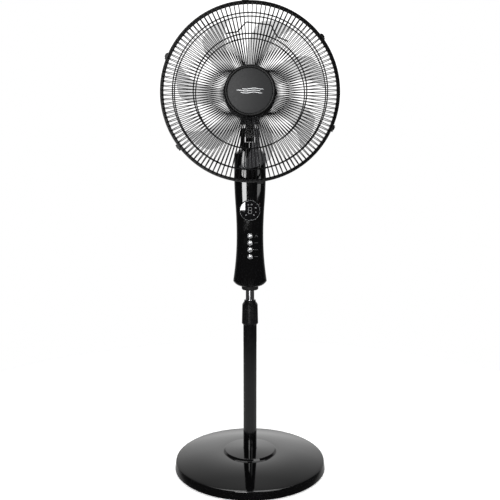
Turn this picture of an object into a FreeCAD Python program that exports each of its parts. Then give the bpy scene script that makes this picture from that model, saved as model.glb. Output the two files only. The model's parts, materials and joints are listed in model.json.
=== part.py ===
"""Pedestal fan: a weighted disc base, a telescopic pole, a waisted control column and a caged fan head.

Units are millimetres.  +Z is up, the fan blows towards -Y, and the origin is on the floor under the pole.
Head pieces are drawn around their own axis, with x to the right, y up and z out of the front of the fan,
and on_head() then lays that axis along -Y at the height of the head.
"""
import FreeCAD, Part
import math
import os

Vec = FreeCAD.Vector
X_AXIS = Vec(1, 0, 0)
Y_AXIS = Vec(0, 1, 0)
Z_AXIS = Vec(0, 0, 1)
RUN = 0.05                    # radial clearance of a running fit
GAP = 0.3                     # clearance between pieces that move past each other
FAR = 400                     # longer than anything that is cut away with it

# Base
BASE_R = 200.0
BASE_LIP_R = 197.0
BASE_LIP_Z = 24.5
BASE_WALL = 3.0
FOOT_HEIGHT = 4.0
FOOT_R = 11.0
FOOT_CIRCLE = 172.0
FOOT_COUNT = 6
BOSS_R = 66.0
BOSS_Z = 48.4
WEIGHT_R = 120.0
WEIGHT_TOP = 17.0
PLATE_THICK = 1.2

# Pole
OUTER_TUBE_R = 17.7
OUTER_TUBE_BORE = 16.2
OUTER_TUBE_TOP = 386.4
SOCKET_TOP = 54.0
INNER_TUBE_R = 11.0
INNER_TUBE_BORE = 10.0
INNER_TUBE_LOW = 95.0
INNER_TUBE_TOP = 545.0
COLLAR_LOW = 386.4
COLLAR_R = 21.4
LOCK_LOW = 394.8
LOCK_TOP = 447.8
CROWN_R = 15.0
CROWN_TOP = 453.6

# Control column
COLUMN_LOW = 490.9
COLUMN_TOP = 849.0
COLUMN_WALL = 2.5
COLUMN_SQUARENESS = 3.2       # exponent of the superellipse in plan: 2 is an ellipse
COLUMN_SECTIONS = (           # height, half width, half depth
    (486, 46.5, 33.0), (528, 40.7, 33.0), (575, 36.2, 33.0), (628, 34.7, 33.0),
    (680, 36.2, 32.6), (730, 39.4, 32.0), (775, 41.0, 31.5), (815, 41.0, 31.0), (856, 41.0, 31.0))
DISPLAY_Z = 691.4
DISPLAY_R = 26.4
DISPLAY_FRONT = -33.3
BUTTON_Z = 598.9
BUTTON_PITCH = 17.8
BUTTON_R = 6.75
BUTTON_NAMES = ("button_power", "button_speed", "button_swing", "button_timer")
SCREW_PLACES = ((-23, 535), (23, 535), (-25, 745), (25, 745))

# Neck and tilt pivot
YOKE_LOW = 849.6
YOKE_FLOOR = 865.0
YOKE_R = 24.5
EAR_INNER = 13.0
EAR_R = 13.0
TILT_Z = 889.0
TILT_BOLT_R = 4.0
STEM_HALF = 11.5
SPIGOT_R = 14.0

# Head
HEAD_Z = 983.0
RING_Z = 102.0                # how far the cage's ring plane lies in front of the pole
HOUSING_R = 64.0
HOUSING_FRONT = 53.8
HOUSING_SPLIT = 12.0
HOUSING_BACK = -62.0
GRILLE_BOSS_R = 20.0
GRILLE_BOSS_LENGTH = 12.0
HOUSING_WALL = 2.5
SHAFT_R = 4.0
DRIVE_PIN_Z = 70.0            # cross pin of the shaft, in front of the grille boss
STATOR_R = 52.0
ROTOR_CORE_R = 29.4
STACK_LOW = -28.0
STACK_TOP = 4.0

# Cage
SPOKE_R = 1.0
SPOKE_SIDES = 12              # the wires are drawn twelve-sided, which keeps 240 of them light
SPOKE_COUNT = 120
SPOKE_END_R = 213.6           # radius on which the spokes meet the rim
SPOKE_END_Z = 2.6             # their height there above the ring plane
RIM_BEND = 16.0
RIM_TURN = 68.0
FACE_BEND = 379.0
SPOKE_INNER_R = 50.0
HOOP_R = 1.5
OUTER_HOOP = 185.5
INNER_HOOP = 134.6
BAND_R = 217.5
BAND_HALF = 7.5
BAND_WEB_R = 210.6            # inner edge of the web that keeps the two rims apart
BAND_WEB_HALF = 0.9
HANDLE_ANGLE = 83.0
HANDLE_R = 1.6
HANDLE_OUT = 59.0             # how far the grip stands behind the ring plane
CLIP_ANGLES = (37.5, 93.0, 156.5, 217.0, 277.0, 337.0)
CLIP_PIN = (220.0, -8.0)      # radius and height of each clip's hinge pin
HUB_R = 60.8
MEDALLION_R = 53.2

# Blades
BLADE_COUNT = 7
BLADE_START = 15.5            # angle of the first blade's root
BLADE_HUB_R = 44.0
BLADE_TIP_R = 186.0
BLADE_MID = 101.0
BLADE_THICK = 2.4


# ---------------------------------------------------------------- helpers

def save(name, *shapes):
    """Write one node: all the solids of the shapes given."""
    solids = [solid for shape in shapes for solid in shape.Solids]
    node = solids[0] if len(solids) == 1 else Part.makeCompound(solids)
    node.exportStep("parts/" + name + ".step")


def rod(radius, low, high, x=0.0, y=0.0):
    """An upright cylinder."""
    return Part.makeCylinder(radius, high - low, Vec(x, y, low), Z_AXIS)


def pipe(outer, inner, low, high, x=0.0, y=0.0):
    """An upright tube."""
    return rod(outer, low, high, x, y).cut(rod(inner, low - 1, high + 1, x, y))


def rod_x(radius, low, high, y, z):
    return Part.makeCylinder(radius, high - low, Vec(low, y, z), X_AXIS)


def rod_y(radius, low, high, x, z):
    return Part.makeCylinder(radius, high - low, Vec(x, low, z), Y_AXIS)


def block(x, y, z):
    """A box from three (low, high) pairs."""
    return Part.makeBox(x[1] - x[0], y[1] - y[0], z[1] - z[0], Vec(x[0], y[0], z[0]))


def turned(start, *steps):
    """A solid of revolution about Z.  Each step is an (r, z) end point, or (r, z, r, z) for an arc
    through its first point to its second.  The outline closes itself."""
    here = Vec(start[0], 0, start[1])
    edges = []
    for step in steps + (start,):
        end = Vec(step[-2], 0, step[-1])
        if len(step) == 4:
            edges.append(Part.Arc(here, Vec(step[0], 0, step[1]), end).toShape())
        elif here.distanceToPoint(end) > 1e-6:
            edges.append(Part.makeLine(here, end))
        here = end
    return Part.Face(Part.Wire(edges)).revolve(Vec(), Z_AXIS, 360)


def cap(radius, edge, height):
    """The arc step of a shallow round cap: from (radius, edge) up to its crown on the axis."""
    ball = (radius ** 2 + height ** 2) / (2 * height)
    middle = edge + height - ball + math.sqrt(ball ** 2 - radius ** 2 / 4)
    return (radius / 2, middle, 0, edge + height)


def turned_by(shape, angle):
    copy = shape.copy()
    copy.rotate(Vec(), Z_AXIS, angle)
    return copy


def around(shape, count, start=0.0):
    """Copies of a shape, evenly spaced about Z."""
    return [turned_by(shape, start + 360.0 * i / count) for i in range(count)]


def lifted(shape, height):
    copy = shape.copy()
    copy.translate(Vec(0, 0, height))
    return copy


def on_head(shape):
    """Take a piece from the head's own axes to its place on the fan."""
    copy = shape.copy()
    copy.rotate(Vec(), X_AXIS, 90)
    copy.translate(Vec(0, 0, HEAD_Z))
    return copy


def on_cage(shape):
    """Take a piece drawn about the cage's ring plane to its place on the fan."""
    return on_head(lifted(shape, RING_Z))


def flipped(shape):
    """Turn a front grille piece into its rear twin."""
    copy = shape.copy()
    copy.rotate(Vec(), X_AXIS, 180)
    return copy


# ---------------------------------------------------------------- base and pole

def base_cover():
    """A thin moulded disc: a flared side wall, a rounded lip, a shallow dome and a raised boss."""
    return turned(
        (BASE_R - BASE_WALL, FOOT_HEIGHT),
        (BASE_R, FOOT_HEIGHT),
        (BASE_LIP_R, BASE_LIP_Z - 2.5),
        (BASE_LIP_R - 0.8, BASE_LIP_Z - 0.5, BASE_LIP_R - 3, BASE_LIP_Z + 0.4),
        (138, 35.8, BOSS_R + 3.5, 42.0),
        (BOSS_R + 1.2, BOSS_Z - 2.2),
        (BOSS_R - 0.2, BOSS_Z - 0.5, BOSS_R - 2.5, BOSS_Z),
        (OUTER_TUBE_R + 0.1, BOSS_Z + 1.2),
        (OUTER_TUBE_R + 0.1, BOSS_Z - 2.2),
        (BOSS_R - 3.5, BOSS_Z - BASE_WALL),
        (BOSS_R + 0.6, 39.0),
        (137, 32.7, BASE_LIP_R - 5, BASE_LIP_Z - 3))


def base_weight():
    return pipe(WEIGHT_R, 32, FOOT_HEIGHT + PLATE_THICK, WEIGHT_TOP)


def base_plate():
    """The flat steel sheet that closes the base from below."""
    return pipe(BASE_R - 6, 32, FOOT_HEIGHT, FOOT_HEIGHT + PLATE_THICK)


def rubber_feet():
    foot = rod(FOOT_R, 0, FOOT_HEIGHT, x=FOOT_CIRCLE)
    return Part.makeCompound(around(foot, FOOT_COUNT, 30))


def pole_socket():
    """Flange, upright socket and threaded stud that join the pole to the base."""
    flange = rod(60, WEIGHT_TOP, WEIGHT_TOP + 4)
    socket = rod(OUTER_TUBE_BORE - 0.02, WEIGHT_TOP + 4, SOCKET_TOP)
    stud = rod(8, FOOT_HEIGHT + 3, WEIGHT_TOP)
    return flange.fuse([socket, stud]).removeSplitter()


def base_hand_nut():
    """Fluted nut that pulls the socket down on the weight."""
    nut = pipe(28, 8 + 0.02, WEIGHT_TOP - 10, WEIGHT_TOP)
    flute = rod(3, WEIGHT_TOP - 11, WEIGHT_TOP + 1, x=29.5)
    return nut.cut(around(flute, 12))


def outer_tube():
    return pipe(OUTER_TUBE_R, OUTER_TUBE_BORE, WEIGHT_TOP + 4, OUTER_TUBE_TOP)


def collar_sleeve():
    """Plastic sleeve in the mouth of the outer tube: an insert, a flange, a neck and a split crown."""
    bore = INNER_TUBE_R + RUN
    sleeve = turned(
        (bore, 340),
        (OUTER_TUBE_BORE - 0.02, 340),
        (OUTER_TUBE_BORE - 0.02, COLLAR_LOW),
        (OUTER_TUBE_R, COLLAR_LOW),
        (COLLAR_R, COLLAR_LOW + 4.5),
        (COLLAR_R, LOCK_LOW - GAP),
        (17, LOCK_LOW - GAP),
        (17, LOCK_TOP - 6.5),
        (CROWN_R, LOCK_TOP - 6.5),
        (CROWN_R, CROWN_TOP - 1),
        (CROWN_R - 1, CROWN_TOP),
        (bore, CROWN_TOP))
    slit = block((-0.6, 0.6), (0, 30), (LOCK_TOP - 30, CROWN_TOP + 1))
    return sleeve.cut(around(slit, 4, 45))


def height_lock_ring():
    """The nut that squeezes the split crown, with finger grooves round its waist."""
    ring = turned(
        (17 + GAP, LOCK_LOW),
        (COLLAR_R, LOCK_LOW),
        (COLLAR_R - 1.1, LOCK_TOP - 6.5),
        (CROWN_R + 1.3, LOCK_TOP),
        (CROWN_R + GAP, LOCK_TOP),
        (CROWN_R + GAP, LOCK_TOP - 6.5 + GAP),
        (17 + GAP, LOCK_TOP - 6.5 + GAP))
    groove = rod(1.1, LOCK_LOW + 9, LOCK_TOP - 12, x=COLLAR_R + 0.2)
    return ring.cut(around(groove, 16))


def inner_tube():
    return pipe(INNER_TUBE_R, INNER_TUBE_BORE, INNER_TUBE_LOW, INNER_TUBE_TOP)


def tube_guide():
    """Plastic foot of the inner tube, which slides in the outer one."""
    foot = rod(OUTER_TUBE_BORE - RUN, INNER_TUBE_LOW - 12, INNER_TUBE_LOW)
    plug = rod(INNER_TUBE_BORE - 0.02, INNER_TUBE_LOW, INNER_TUBE_LOW + 10)
    return foot.fuse(plug).removeSplitter().cut(rod(5, INNER_TUBE_LOW - 13, INNER_TUBE_LOW + 11))


# ---------------------------------------------------------------- control column

def superellipse(z, half_width, half_depth):
    """A closed plan outline of the column at height z."""
    count = 32
    power = 2.0 / COLUMN_SQUARENESS
    points = []
    for i in range(count):
        angle = 2 * math.pi * (i + 0.5) / count
        c = math.cos(angle)
        s = math.sin(angle)
        x = math.copysign(half_width * abs(c) ** power, c)
        y = math.copysign(half_depth * abs(s) ** power, s)
        points.append(Vec(x, y, z))
    curve = Part.BSplineCurve()
    curve.interpolate(Points=points, PeriodicFlag=True)
    return Part.Wire(curve.toShape())


def column_body(inset):
    """The waisted body, drawn in by inset all round: the body itself, or the space inside its walls."""
    sections = [superellipse(z, width - inset, depth - inset) for z, width, depth in COLUMN_SECTIONS]
    body = Part.makeLoft(sections, True, False)
    low = COLUMN_LOW + inset
    top = COLUMN_TOP - inset
    limits = turned(
        (0, low),
        (22.4, low),
        (33.5, low + 3.3, 43.4, low + 15.3),
        (62, low + 34),
        (62, top - 27),
        (YOKE_R - 0.5, top),
        (0, top))
    return body.common(limits)


def screw_posts(low, high, bore):
    """Round posts that the shell screws run in."""
    return [rod_y(4.5, low, high, x, z).cut(rod_y(bore, low - 1, high + 1, x, z)) for x, z in SCREW_PLACES]


def column_halves():
    """The front and rear shells, split along the middle, with their screw posts and openings."""
    outside = column_body(0)
    hollow = column_body(COLUMN_WALL)
    walls = outside.cut(hollow)
    walls = walls.cut([rod(18, COLUMN_LOW - 1, COLUMN_LOW + 5), rod(18, COLUMN_TOP - 5, COLUMN_TOP + 1)])
    front_space = block((-FAR, FAR), (-FAR, 0), (0, 3 * FAR))
    rear_space = block((-FAR, FAR), (0, FAR), (0, 3 * FAR))

    front = walls.common(front_space)
    boss = rod_y(DISPLAY_R + 2.2, DISPLAY_FRONT + 0.6, -26, 0, DISPLAY_Z)
    front = front.fuse([boss] + [post.common(outside) for post in screw_posts(-33, 0, 1.5)])
    openings = [rod_y(DISPLAY_R + 1.2, -FAR, -20, 0, DISPLAY_Z), rod_y(1.52, -FAR, -20, 24.8, DISPLAY_Z + 17)]
    openings += [rod_y(BUTTON_R + GAP, -FAR, -20, 0, z) for z in button_heights()]
    front = front.cut(openings)

    rear = walls.common(rear_space)
    rear = rear.fuse([post.common(outside) for post in screw_posts(0, 33, 1.6)])
    rear = rear.cut([rod_y(3.2, 9, FAR, x, z) for x, z in SCREW_PLACES] + [rod_y(6, 20, FAR, 0, 522)])
    slot = block((-14, 14), (20, FAR), (-1, 1))
    rear = rear.cut([lifted(slot, z) for z in range(700, 741, 8)])
    return front.removeSplitter(), rear.removeSplitter()


def button_heights():
    """Button centres, from the top one down."""
    return [BUTTON_Z + (1.5 - i) * BUTTON_PITCH for i in range(len(BUTTON_NAMES))]


def button(z):
    """A domed push button with a flange behind the panel."""
    low = -29.6
    rim = -33.5
    body = rod_y(BUTTON_R, rim, low, 0, z)
    flange = rod_y(BUTTON_R + 1.2, low - 0.5, low, 0, z)
    dome_height = 3.0
    ball_r = (BUTTON_R ** 2 + dome_height ** 2) / (2 * dome_height)
    ball = Part.makeSphere(ball_r, Vec(0, rim - dome_height + ball_r, z))
    dome = ball.common(rod_y(BUTTON_R, rim - dome_height - 1, rim, 0, z))
    return body.fuse([flange, dome]).removeSplitter()


def display_ring():
    ring = rod_y(DISPLAY_R + 1.2, DISPLAY_FRONT - 0.4, -28, 0, DISPLAY_Z)
    return ring.cut(rod_y(DISPLAY_R, -FAR, 0, 0, DISPLAY_Z))


def display_lens():
    return rod_y(DISPLAY_R, DISPLAY_FRONT, DISPLAY_FRONT + 2.5, 0, DISPLAY_Z)


def display_board():
    """Round board with its number tube and eight lamps, one behind each symbol."""
    board = rod_y(24, -28.4, -26.8, 0, DISPLAY_Z)
    digit = block((-5, 5), (-30.4, -28.4), (DISPLAY_Z - 8, DISPLAY_Z + 8))
    lamp = rod_y(1.5, -29.9, -28.4, 15.5, 0)
    lamps = []
    for i in range(8):
        piece = lamp.copy()
        piece.rotate(Vec(), Y_AXIS, 22.5 + 45 * i)
        lamps.append(lifted(piece, DISPLAY_Z))
    return Part.makeCompound([board, digit] + lamps)


def button_board():
    """Narrow board with one switch behind each button."""
    heights = button_heights()
    board = block((-9, 9), (-24.6, -23), (heights[-1] - 10, heights[0] + 10))
    switches = [block((-3, 3), (-27.4, -24.6), (z - 3, z + 3)) for z in heights]
    plungers = [rod_y(1.7, -28.2, -27.4, 0, z) for z in heights]
    return Part.makeCompound([board] + [s.fuse(p) for s, p in zip(switches, plungers)])


def main_board():
    """Power board with a transformer, a smoothing capacitor, a relay and a sounder."""
    board = block((-17, 17), (4, 5.6), (570, 690))
    transformer = block((-13, 9), (5.6, 23), (580, 604))
    capacitor = rod_y(6, 5.6, 22, 6, 622)
    relay = block((-14, -2), (5.6, 19), (612, 634))
    sounder = rod_y(5, 5.6, 12, -6, 656)
    return Part.makeCompound([board, transformer, capacitor, relay, sounder])


def tube_socket():
    """Block that carries the column on the inner tube."""
    sleeve = pipe(17.9, INNER_TUBE_R + 0.02, COLUMN_LOW, INNER_TUBE_TOP)
    cap = rod(17.9, INNER_TUBE_TOP, INNER_TUBE_TOP + 5).cut(rod(7, INNER_TUBE_TOP - 1, INNER_TUBE_TOP + 6))
    return sleeve.fuse(cap).removeSplitter()


def column_lock_ring():
    """Plain ring under the column that clamps it to the inner tube."""
    low = COLUMN_LOW - 10.2
    return turned(
        (INNER_TUBE_R + 0.02, low),
        (20, low),
        (21.7, low + 1.7),
        (22.2, COLUMN_LOW),
        (INNER_TUBE_R + 0.02, COLUMN_LOW))


def cord_gland():
    """Grommet in the rear shell for a mains cord."""
    flange = rod_y(8, 33.2, 35.2, 0, 522)
    body = rod_y(5.98, 27, 40, 0, 522)
    return body.fuse(flange).removeSplitter().cut(rod_y(3.6, 26, 41, 0, 522))


def shell_screws():
    return Part.makeCompound([
        rod_y(1.48, -14, 9, x, z).fuse(rod_y(3, 9, 11.4, x, z)).cut(rod_y(1.1, 10, 12, x, z))
        for x, z in SCREW_PLACES])


def swing_motor():
    """Flat geared motor that turns the neck, with the blind socket that its output shaft leaves by."""
    can = rod(25, 800, 821)
    ears = block((-30, 30), (-5, 5), (821, 823))
    body = can.fuse(ears).removeSplitter()
    return body.cut(rod(3 + RUN, 811, 824))


def neck_bearing():
    return pipe(17.98, SPIGOT_R + RUN, 832, COLUMN_TOP)


# ---------------------------------------------------------------- neck

def neck_yoke():
    """The turning neck: a spigot in the bearing, a round foot and two upright ears."""
    spigot = rod(SPIGOT_R, 830, YOKE_LOW)
    foot = turned(
        (0, YOKE_LOW),
        (YOKE_R - 0.8, YOKE_LOW),
        (YOKE_R, YOKE_LOW + 0.8),
        (YOKE_R, YOKE_FLOOR - 1.5),
        (YOKE_R - 1.5, YOKE_FLOOR),
        (0, YOKE_FLOOR))
    ears = []
    for low, high in ((-YOKE_R, -EAR_INNER), (EAR_INNER, YOKE_R)):
        upright = block((low, high), (-EAR_R, EAR_R), (YOKE_LOW + 6, TILT_Z))
        ears.append(upright.fuse(rod_x(EAR_R, low, high, 0, TILT_Z)))
    yoke = foot.fuse([spigot] + ears).removeSplitter()
    holes = [rod_x(TILT_BOLT_R + RUN, -FAR, FAR, 0, TILT_Z)]
    holes += [rod_x(7, YOKE_R - 3, FAR, 0, TILT_Z), rod_x(7, -FAR, -YOKE_R + 3, 0, TILT_Z)]
    return yoke.cut(holes + [rod(3 + 0.02, 829, 846)])


def swing_shaft():
    return rod(3, 812, 845.5)


def tilt_bolt():
    """Pivot bolt through both ears, with its nut as a second solid."""
    shank = rod_x(TILT_BOLT_R, -YOKE_R + 3, YOKE_R - 0.4, 0, TILT_Z)
    head = rod_x(6.6, -YOKE_R + 0.2, -YOKE_R + 3, 0, TILT_Z)
    nut = rod_x(6.6, YOKE_R - 3, YOKE_R - 0.4, 0, TILT_Z)
    nut = nut.cut(rod_x(TILT_BOLT_R + 0.02, 0, FAR, 0, TILT_Z))
    return Part.makeCompound([shank.fuse(head).removeSplitter(), nut])


def tilt_washers():
    """Friction washers between the ears and the stem."""
    washers = []
    for low in (-EAR_INNER, STEM_HALF + GAP):
        high = low + EAR_INNER - STEM_HALF - GAP
        washer = rod_x(10, low, high, 0, TILT_Z)
        washers.append(washer.cut(rod_x(TILT_BOLT_R + RUN, low - 1, high + 1, 0, TILT_Z)))
    return Part.makeCompound(washers)


# ---------------------------------------------------------------- motor

def tilt_arm():
    """Saddle under the motor housing with the ribbed stem that hangs between the ears."""
    stem = block((-STEM_HALF, STEM_HALF), (-13, 13), (TILT_Z - 10, HEAD_Z - 50))
    tip = rod_x(13, -STEM_HALF, STEM_HALF, 0, TILT_Z - 10)
    saddle = block((-24, 24), (-20, 20), (HEAD_Z - 71.5, HEAD_Z - 50))
    arm = saddle.fuse([stem, tip]).removeSplitter()
    grooves = []
    for x in (-6.5, 0, 6.5):
        for side in (-13, 13):
            grooves.append(rod(1.3, TILT_Z - 6, HEAD_Z - 74, x=x, y=side))
    housing = rod_y(HOUSING_R + 0.02, -FAR, FAR, 0, HEAD_Z)
    return arm.cut(grooves + [housing, rod_x(TILT_BOLT_R + 2 * RUN - 0.02, -FAR, FAR, 0, TILT_Z)])


def motor_front_cover():
    """Front half of the motor housing, with the boss that carries the grille and the front bearing."""
    r = HOUSING_R
    z = HOUSING_FRONT
    boss_top = z + GRILLE_BOSS_LENGTH
    return turned(
        (9.02, z - 12),
        (GRILLE_BOSS_R, z - 12),
        (GRILLE_BOSS_R, z - HOUSING_WALL),
        (r - 6, z - HOUSING_WALL),
        (r - HOUSING_WALL, z - 6),
        (r - HOUSING_WALL, HOUSING_SPLIT),
        (r, HOUSING_SPLIT),
        (r, z - 5),
        (r - 1.5, z - 1.5, r - 5, z),
        (GRILLE_BOSS_R, z),
        (GRILLE_BOSS_R, boss_top - 1),
        (GRILLE_BOSS_R - 1, boss_top),
        (9.02, boss_top))


def motor_rear_cover():
    """Rear half of the motor housing: a vented cup with ribs for the stator and a bearing seat."""
    r = HOUSING_R
    z = HOUSING_BACK
    cup = turned(
        (0, z),
        (r - 18, z),
        (r - 5.3, z + 5.3, r, z + 18),
        (r, HOUSING_SPLIT),
        (r - HOUSING_WALL, HOUSING_SPLIT),
        (r - HOUSING_WALL, z + 18),
        (r - 7, z + 7, r - 18, z + HOUSING_WALL),
        (0, z + HOUSING_WALL))
    seat = pipe(15, 9.02, z + 1, z + 16)
    rib = block((STATOR_R + 0.02, r - 1), (-2, 2), (STACK_LOW, STACK_TOP))
    slot = block((20, 44), (-1.5, 1.5), (z - 1, z + 4))
    side_slot = block((r - 5, r + 5), (-1.5, 1.5), (z + 22, z + 44))
    cup = cup.fuse([seat] + around(rib, 6, 10))
    return cup.cut(around(slot, 20) + around(side_slot, 8, 22.5)).removeSplitter()


def stator_core():
    """Laminated ring with eight open slots facing the rotor."""
    core = pipe(STATOR_R, ROTOR_CORE_R + 0.6, STACK_LOW, STACK_TOP)
    slot = block((ROTOR_CORE_R, STATOR_R - 8), (-3, 3), (STACK_LOW - 1, STACK_TOP + 1))
    return core.cut(around(slot, 8))


def stator_coils():
    """The two crowns of copper winding, one at each end of the stack."""
    return Part.makeCompound([
        pipe(STATOR_R - 6, ROTOR_CORE_R + 3, STACK_TOP + 0.02, STACK_TOP + 12),
        pipe(STATOR_R - 6, ROTOR_CORE_R + 3, STACK_LOW - 12, STACK_LOW - 0.02)])


def motor_bearings():
    return Part.makeCompound([
        pipe(9, SHAFT_R + RUN, HOUSING_FRONT - 11, HOUSING_FRONT + 10),
        pipe(9, SHAFT_R + RUN, HOUSING_BACK + HOUSING_WALL, HOUSING_BACK + 15)])


def motor_shaft():
    """Shaft with the cross pin that drives the blades."""
    shaft = rod(SHAFT_R, HOUSING_BACK + 4, 138)
    pin = rod_x(1.5, -10, 10, 0, DRIVE_PIN_Z)
    return shaft.fuse(pin).removeSplitter()


def rotor_core():
    return pipe(ROTOR_CORE_R, SHAFT_R + 0.02, STACK_LOW, STACK_TOP)


# ---------------------------------------------------------------- blades

def blade_point(across, along):
    """A point of a blade's rear face.  across runs from the leading to the trailing edge, along from
    the root to the tip, and both go from 0 to 1."""
    tip = BLADE_TIP_R - 18 * across ** 2.2 - 5 * (1 - across) ** 8
    r = BLADE_HUB_R - 1.5 + along * (tip - BLADE_HUB_R + 1.5)
    s = (r - BLADE_HUB_R) / (BLADE_TIP_R - BLADE_HUB_R)
    leading = 2.5 - 15.5 * max(s, 0) ** 3
    trailing = 32.5 - 12 * s - 11.5 * max(s, 0) ** 3
    angle = math.radians(BLADE_START + leading + across * (trailing - leading))
    lift = (36 - 6 * s) * (across - 0.5)
    camber = 4 * (1 - (2 * across - 1) ** 2)
    return Vec(r * math.cos(angle), r * math.sin(angle), BLADE_MID + lift - camber)


def blade():
    """One twisted blade of even thickness."""
    grid = [[blade_point(i / 10.0, j / 8.0) for j in range(9)] for i in range(11)]
    surface = Part.BSplineSurface()
    surface.interpolate(grid)
    return surface.toShape().extrude(Vec(0, 0, BLADE_THICK))


def fan_blades():
    """Seven blades moulded in one with their hub."""
    hub = turned(
        (SHAFT_R + 0.02, DRIVE_PIN_Z - 1),
        (12, DRIVE_PIN_Z - 1),
        (12, 119),
        (BLADE_HUB_R - 3, 117),
        (BLADE_HUB_R - 3, 76),
        (BLADE_HUB_R, 76),
        (BLADE_HUB_R, 117),
        (BLADE_HUB_R - 1, 120, BLADE_HUB_R - 5, 121.5),
        (SHAFT_R + 0.02, 124))
    notch = block((-11, 11), (-1.6, 1.6), (DRIVE_PIN_Z - 2, DRIVE_PIN_Z))
    slot = rod_x(1.6, -11, 11, 0, DRIVE_PIN_Z).fuse(notch)
    return hub.cut(slot).fuse(around(blade(), BLADE_COUNT)).removeSplitter()


def spinner_nut():
    """Left-hand nut that holds the blades on the shaft."""
    nut = turned(
        (SHAFT_R + 0.02, 124.1),
        (15, 124.1),
        (15, 136),
        cap(15, 136, 5),
        (0, 138.1),
        (SHAFT_R + 0.02, 138.1))
    flute = rod(2, 123, 136, x=16)
    return nut.cut(around(flute, 8))


# ---------------------------------------------------------------- cage

def face_centre():
    """Centre (r, z) of the large bend that shapes the face of a grille."""
    turn = math.radians(RIM_TURN)
    reach = FACE_BEND - RIM_BEND
    return (SPOKE_END_R - RIM_BEND - reach * math.cos(turn), SPOKE_END_Z - reach * math.sin(turn))


def spoke_section():
    """The wire's cut end at the rim: a regular polygon with the area of a circle of SPOKE_R."""
    step = 2 * math.pi / SPOKE_SIDES
    corner_r = SPOKE_R * math.sqrt(step / math.sin(step))
    corners = []
    for i in range(SPOKE_SIDES + 1):
        angle = (i + 0.5) * step
        corners.append(Vec(SPOKE_END_R + corner_r * math.cos(angle), corner_r * math.sin(angle), SPOKE_END_Z))
    return Part.Face(Part.makePolygon(corners))


def spoke():
    """One grille wire: a tight bend at the rim, a wide bend over the face and a straight inner end."""
    section = spoke_section()
    back = Vec(0, -1, 0)
    centre = Vec(SPOKE_END_R - RIM_BEND, 0, SPOKE_END_Z)
    first = section.revolve(centre, back, RIM_TURN)
    section = section.copy()
    section.rotate(centre, back, RIM_TURN)
    face_r, face_z = face_centre()
    centre = Vec(face_r, 0, face_z)
    second = section.revolve(centre, back, 90 - RIM_TURN)
    section = section.copy()
    section.rotate(centre, back, 90 - RIM_TURN)
    end = section.extrude(Vec(SPOKE_INNER_R - face_r, 0, 0))
    return first.fuse([second, end])


def face_height(radius, outwards):
    """Height above the ring plane, at a radius, of a line that lies so far outwards of the spokes' middle."""
    face_r, face_z = face_centre()
    reach = FACE_BEND + outwards
    return face_z + math.sqrt(reach ** 2 - (radius - face_r) ** 2)


def hoop(radius):
    """A round wire that lies against the spokes from inside."""
    height = face_height(radius, -SPOKE_R - HOOP_R - 0.01)
    return Part.makeTorus(radius, HOOP_R, Vec(0, 0, height), Z_AXIS)


def grille_spokes():
    return Part.makeCompound(around(spoke(), SPOKE_COUNT, 1.5))


def grille_hoops():
    rim_r = SPOKE_END_R - SPOKE_R - HOOP_R - 0.01
    rim = Part.makeTorus(rim_r, HOOP_R, Vec(0, 0, SPOKE_END_Z), Z_AXIS)
    return Part.makeCompound([rim, hoop(OUTER_HOOP), hoop(INNER_HOOP)])


def spoke_plane():
    """Height of the spokes' straight inner ends above the ring plane."""
    return face_centre()[1] + FACE_BEND


def rear_grille_plate():
    """Pressed plate that the rear spokes are welded to and the lock nut holds."""
    face = spoke_plane() + SPOKE_R
    return flipped(pipe(63, GRILLE_BOSS_R + GAP, face, face + 2))


def grille_lock_nut():
    """Large fluted nut on the motor's boss."""
    low = RING_Z - spoke_plane() - SPOKE_R
    nut = pipe(36, GRILLE_BOSS_R + 0.02, low, low + 9)
    flute = rod(4, low - 1, low + 10, x=38)
    return nut.cut(around(flute, 16))


def front_grille_plate():
    """Pressed ring behind the inner ends of the front spokes."""
    top = spoke_plane() - SPOKE_R
    return pipe(59, SPOKE_INNER_R - 5, top - 2, top)


def hub_bezel():
    """Rounded ring round the middle of the front grille."""
    low = spoke_plane() + SPOKE_R
    return turned(
        (MEDALLION_R + 0.1, low),
        (HUB_R, low),
        (HUB_R, low + 5),
        (HUB_R - 1.2, low + 8.6, HUB_R - 4.4, low + 10),
        (MEDALLION_R + 0.9, low + 8.8, MEDALLION_R + 0.1, low + 6))


def medallion():
    """Slightly domed disc that closes the hub."""
    low = spoke_plane() + SPOKE_R
    return turned(
        (0, low),
        (MEDALLION_R, low),
        (MEDALLION_R, low + 6),
        cap(MEDALLION_R, low + 6, 2.5))


def grille_ring():
    """Moulded channel round both grilles with a web between their rims, and a pair of lugs and a pin for
    each clip."""
    r = BAND_R
    h = BAND_HALF
    band = turned(
        (r - 2.6, -h),
        (r, -h),
        (r, h),
        (r - 2.6, h),
        (r - 2.6, h - 1.5),
        (r - 1.5, h - 1.5),
        (r - 1.5, BAND_WEB_HALF),
        (BAND_WEB_R, BAND_WEB_HALF),
        (BAND_WEB_R, -BAND_WEB_HALF),
        (r - 1.5, -BAND_WEB_HALF),
        (r - 1.5, -h + 1.5),
        (r - 2.6, -h + 1.5))
    pin_r, pin_z = CLIP_PIN
    pieces = []
    for angle in CLIP_ANGLES:
        for low, high in ((-8.4, -6.4), (6.4, 8.4)):
            lug = block((r - 1.2, pin_r + 2.2), (low, high), (pin_z - 2.5, pin_z + 3))
            pieces.append(turned_by(lug, angle))
        pieces.append(turned_by(rod_y(1, -8, 8, pin_r, pin_z), angle))
    return band.fuse(pieces).removeSplitter()


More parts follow.
